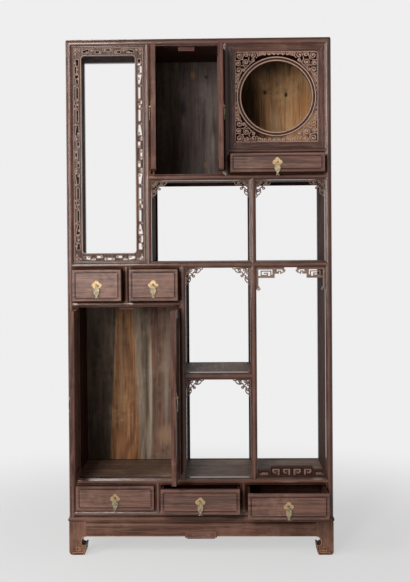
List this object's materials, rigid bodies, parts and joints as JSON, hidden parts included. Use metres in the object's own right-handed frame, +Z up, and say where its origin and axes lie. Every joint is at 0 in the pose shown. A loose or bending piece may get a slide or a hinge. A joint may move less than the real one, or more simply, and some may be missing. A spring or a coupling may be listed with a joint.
{
  "type": "chinese display and book cabinet",
  "caption": "Tall Chinese hardwood display and book cabinet with open bays, a moon-window box, small drawers, pivoting cupboard doors and hanging brass pulls on a low footed stand.",
  "frame": {"origin": "middle of the whole object's footprint at floor level, open doors included", "axes": "+Z up, +X to the viewer's right when facing the front, -Y out of the front"},
  "size_m": [1.006, 0.5312, 1.95],
  "materials": {
    "frame_wood": "waxed dark reddish-brown hardwood, worn pinkish on the crowns",
    "stand_wood": "waxed hardwood, worn to orange-brown",
    "panel_wood": "satin dark hardwood board",
    "door_wood": "satin hardwood",
    "drawer_wood": "satin pinkish-brown hardwood",
    "back_wood": "thin boards with knots and open grain",
    "brass": "polished yellow brass",
    "aged_brass": "aged brass with a green-brown patina"
  },
  "bodies": {
    "case": {"leg_front_left": "stand_wood", "leg_front_right": "stand_wood", "leg_rear_left": "stand_wood", "leg_rear_right": "stand_wood", "stand_apron_front": "stand_wood", "stand_aprons_rear_and_sides": "stand_wood", "apron_plaque": "stand_wood", "stand_top_frame": "stand_wood", "post_front_left": "frame_wood", "post_front_right": "frame_wood", "post_rear_left": "frame_wood", "post_rear_right": "frame_wood", "top_frame": "frame_wood", "top_panel": "panel_wood", "front_uprights": "frame_wood", "front_rails": "frame_wood", "rear_frame": "panel_wood", "side_rails": "frame_wood", "side_panels": "panel_wood", "partitions": "panel_wood", "shelf_boards": "panel_wood", "drawer_guides_and_door_stops": "panel_wood", "back_boards": "back_wood", "display_fret_frame": "frame_wood", "moon_panel_frame": "frame_wood", "moon_ring": "frame_wood", "moon_carving": "frame_wood", "scroll_spandrels": "frame_wood", "key_fret_spandrels": "frame_wood", "gallery_rail": "frame_wood"},
    "drawer_small_left": {"drawer_small_left": "drawer_wood", "drawer_small_left_plate": "brass"},
    "drawer_small_right": {"drawer_small_right": "drawer_wood", "drawer_small_right_plate": "brass"},
    "drawer_shallow": {"drawer_shallow": "drawer_wood", "drawer_shallow_plate": "brass"},
    "drawer_bottom_left": {"drawer_bottom_left": "drawer_wood", "drawer_bottom_left_plate": "brass"},
    "drawer_bottom_middle": {"drawer_bottom_middle": "drawer_wood", "drawer_bottom_middle_plate": "brass"},
    "drawer_bottom_right": {"drawer_bottom_right": "drawer_wood", "drawer_bottom_right_plate": "brass"},
    "door_upper_left": {"door_upper_left": "door_wood", "door_upper_left_plate": "brass"},
    "door_upper_right": {"door_upper_right": "door_wood", "door_upper_right_plate": "brass"},
    "door_lower_left": {"door_lower_left": "door_wood", "door_lower_left_plate": "brass"},
    "door_lower_right": {"door_lower_right": "door_wood", "door_lower_right_plate": "brass"},
    "drawer_small_left_pull": {"drawer_small_left_pull": "aged_brass"},
    "drawer_small_right_pull": {"drawer_small_right_pull": "aged_brass"},
    "drawer_shallow_pull": {"drawer_shallow_pull": "aged_brass"},
    "drawer_bottom_left_pull": {"drawer_bottom_left_pull": "aged_brass"},
    "drawer_bottom_middle_pull": {"drawer_bottom_middle_pull": "aged_brass"},
    "drawer_bottom_right_pull": {"drawer_bottom_right_pull": "aged_brass"},
    "door_upper_left_pull": {"door_upper_left_pull": "aged_brass"},
    "door_upper_right_pull": {"door_upper_right_pull": "aged_brass"},
    "door_lower_left_pull": {"door_lower_left_pull": "aged_brass"},
    "door_lower_right_pull": {"door_lower_right_pull": "aged_brass"}
  },
  "joints": [
    {"name": "drawer_small_left_slide", "type": "slide", "parent": "case", "child": "drawer_small_left", "axis": [0, -1, 0], "range_m": [-0.06, 0.175]},
    {"name": "drawer_small_right_slide", "type": "slide", "parent": "case", "child": "drawer_small_right", "axis": [0, -1, 0], "range_m": [-0.054, 0.181]},
    {"name": "drawer_shallow_slide", "type": "slide", "parent": "case", "child": "drawer_shallow", "axis": [0, -1, 0], "range_m": [-0.04, 0.195]},
    {"name": "drawer_bottom_left_slide", "type": "slide", "parent": "case", "child": "drawer_bottom_left", "axis": [0, -1, 0], "range_m": [-0.01, 0.225]},
    {"name": "drawer_bottom_middle_slide", "type": "slide", "parent": "case", "child": "drawer_bottom_middle", "axis": [0, -1, 0], "range_m": [-0.066, 0.169]},
    {"name": "drawer_bottom_right_slide", "type": "slide", "parent": "case", "child": "drawer_bottom_right", "axis": [0, -1, 0], "range_m": [-0.134, 0.101]},
    {"name": "door_upper_left_hinge", "type": "hinge", "parent": "case", "child": "door_upper_left", "pos_m": [-0.16875, -0.07765, 1.68225], "axis": [0, 0, -1], "range_deg": [-86, 9]},
    {"name": "door_upper_right_hinge", "type": "hinge", "parent": "case", "child": "door_upper_right", "pos_m": [0.08175, -0.07765, 1.68225], "axis": [0, 0, 1], "range_deg": [-92.5, 2.5]},
    {"name": "door_lower_left_hinge", "type": "hinge", "parent": "case", "child": "door_lower_left", "pos_m": [-0.46375, -0.07765, 0.6215], "axis": [0, 0, -1], "range_deg": [-87.5, 7.5]},
    {"name": "door_lower_right_hinge", "type": "hinge", "parent": "case", "child": "door_lower_right", "pos_m": [-0.08625, -0.07765, 0.6215], "axis": [0, 0, 1], "range_deg": [-88.5, 6.5]},
    {"name": "drawer_small_left_pull_swing", "type": "hinge", "parent": "drawer_small_left", "child": "drawer_small_left_pull", "pos_m": [-0.38025, -0.1514, 1.026], "axis": [-1, 0, 0], "range_deg": [0, 75]},
    {"name": "drawer_small_right_pull_swing", "type": "hinge", "parent": "drawer_small_right", "child": "drawer_small_right_pull", "pos_m": [-0.16975, -0.1454, 1.026], "axis": [-1, 0, 0], "range_deg": [0, 75]},
    {"name": "drawer_shallow_pull_swing", "type": "hinge", "parent": "drawer_shallow", "child": "drawer_shallow_pull", "pos_m": [0.295, -0.1314, 1.47925], "axis": [-1, 0, 0], "range_deg": [0, 75]},
    {"name": "drawer_bottom_left_pull_swing", "type": "hinge", "parent": "drawer_bottom_left", "child": "drawer_bottom_left_pull", "pos_m": [-0.32367, -0.1014, 0.21875], "axis": [-1, 0, 0], "range_deg": [0, 75]},
    {"name": "drawer_bottom_middle_pull_swing", "type": "hinge", "parent": "drawer_bottom_middle", "child": "drawer_bottom_middle_pull", "pos_m": [0, -0.1574, 0.21875], "axis": [-1, 0, 0], "range_deg": [0, 75]},
    {"name": "drawer_bottom_right_pull_swing", "type": "hinge", "parent": "drawer_bottom_right", "child": "drawer_bottom_right_pull", "pos_m": [0.32367, -0.2254, 0.21875], "axis": [-1, 0, 0], "range_deg": [0, 75]},
    {"name": "door_upper_left_pull_swing", "type": "hinge", "parent": "door_upper_left", "child": "door_upper_left_pull", "pos_m": [-0.17533, -0.18061, 1.68225], "axis": [-0.0698, 0.9976, 0], "range_deg": [0, 75]},
    {"name": "door_upper_right_pull_swing", "type": "hinge", "parent": "door_upper_right", "child": "door_upper_right_pull", "pos_m": [0.09995, -0.1792, 1.68225], "axis": [0.0436, -0.999, 0], "range_deg": [0, 75]},
    {"name": "door_lower_left_pull_swing", "type": "hinge", "parent": "door_lower_left", "child": "door_lower_left_pull", "pos_m": [-0.47026, -0.24384, 0.6215], "axis": [-0.0436, 0.999, 0], "range_deg": [0, 75]},
    {"name": "door_lower_right_pull_swing", "type": "hinge", "parent": "door_lower_right", "child": "door_lower_right_pull", "pos_m": [-0.07684, -0.2437, 0.6215], "axis": [-0.0262, -0.9997, 0], "range_deg": [0, 75]}
  ]
}
